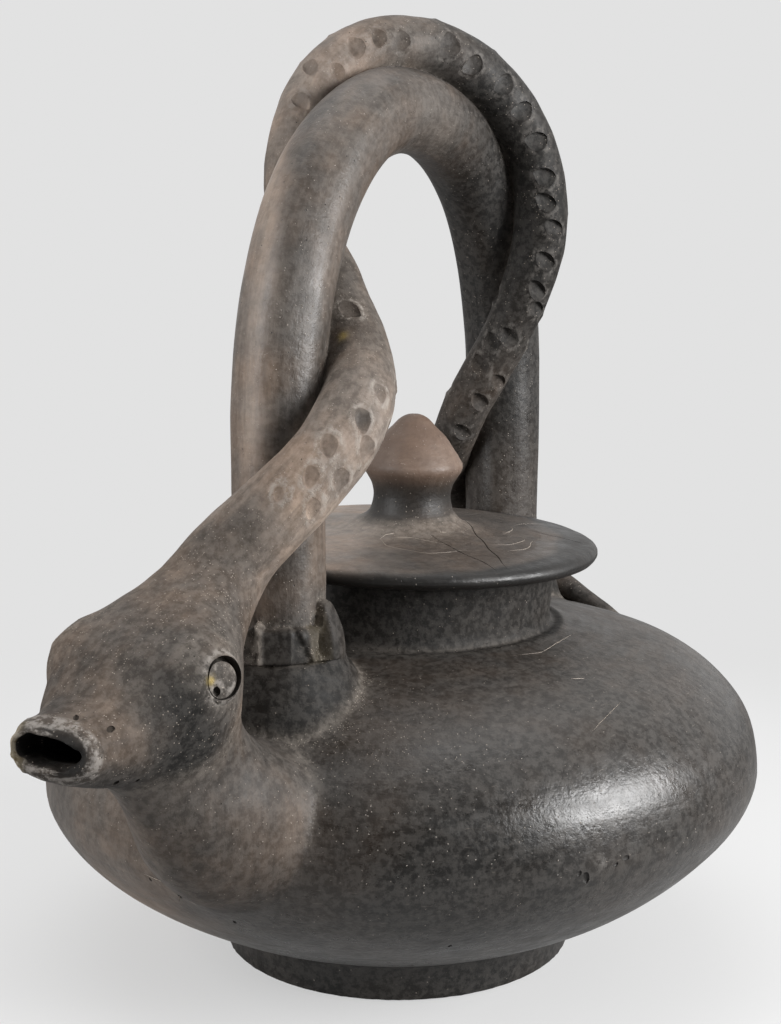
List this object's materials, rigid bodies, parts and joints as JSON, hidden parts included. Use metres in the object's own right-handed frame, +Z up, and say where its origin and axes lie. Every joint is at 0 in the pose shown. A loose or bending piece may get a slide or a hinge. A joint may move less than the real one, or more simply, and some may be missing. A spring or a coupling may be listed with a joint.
{
  "type": "figural teapot",
  "caption": "Squat hollow clay teapot with an arch handle, a serpent wound round it whose open-mouthed head is the spout, and a knobbed lid that lifts off.",
  "frame": {"origin": "centre of the flat underside of the disc foot, on the surface the pot stands on", "axes": "+Z up, -Y along the spout and the plane of the handle, +X to the pot's left as it faces -Y"},
  "size_m": [0.23, 0.2956, 0.2957],
  "materials": {
    "pot_clay": "satin",
    "lid_clay": "satin"
  },
  "bodies": {
    "root": {"pot": "pot_clay", "lid": "lid_clay"}
  },
  "joints": []
}
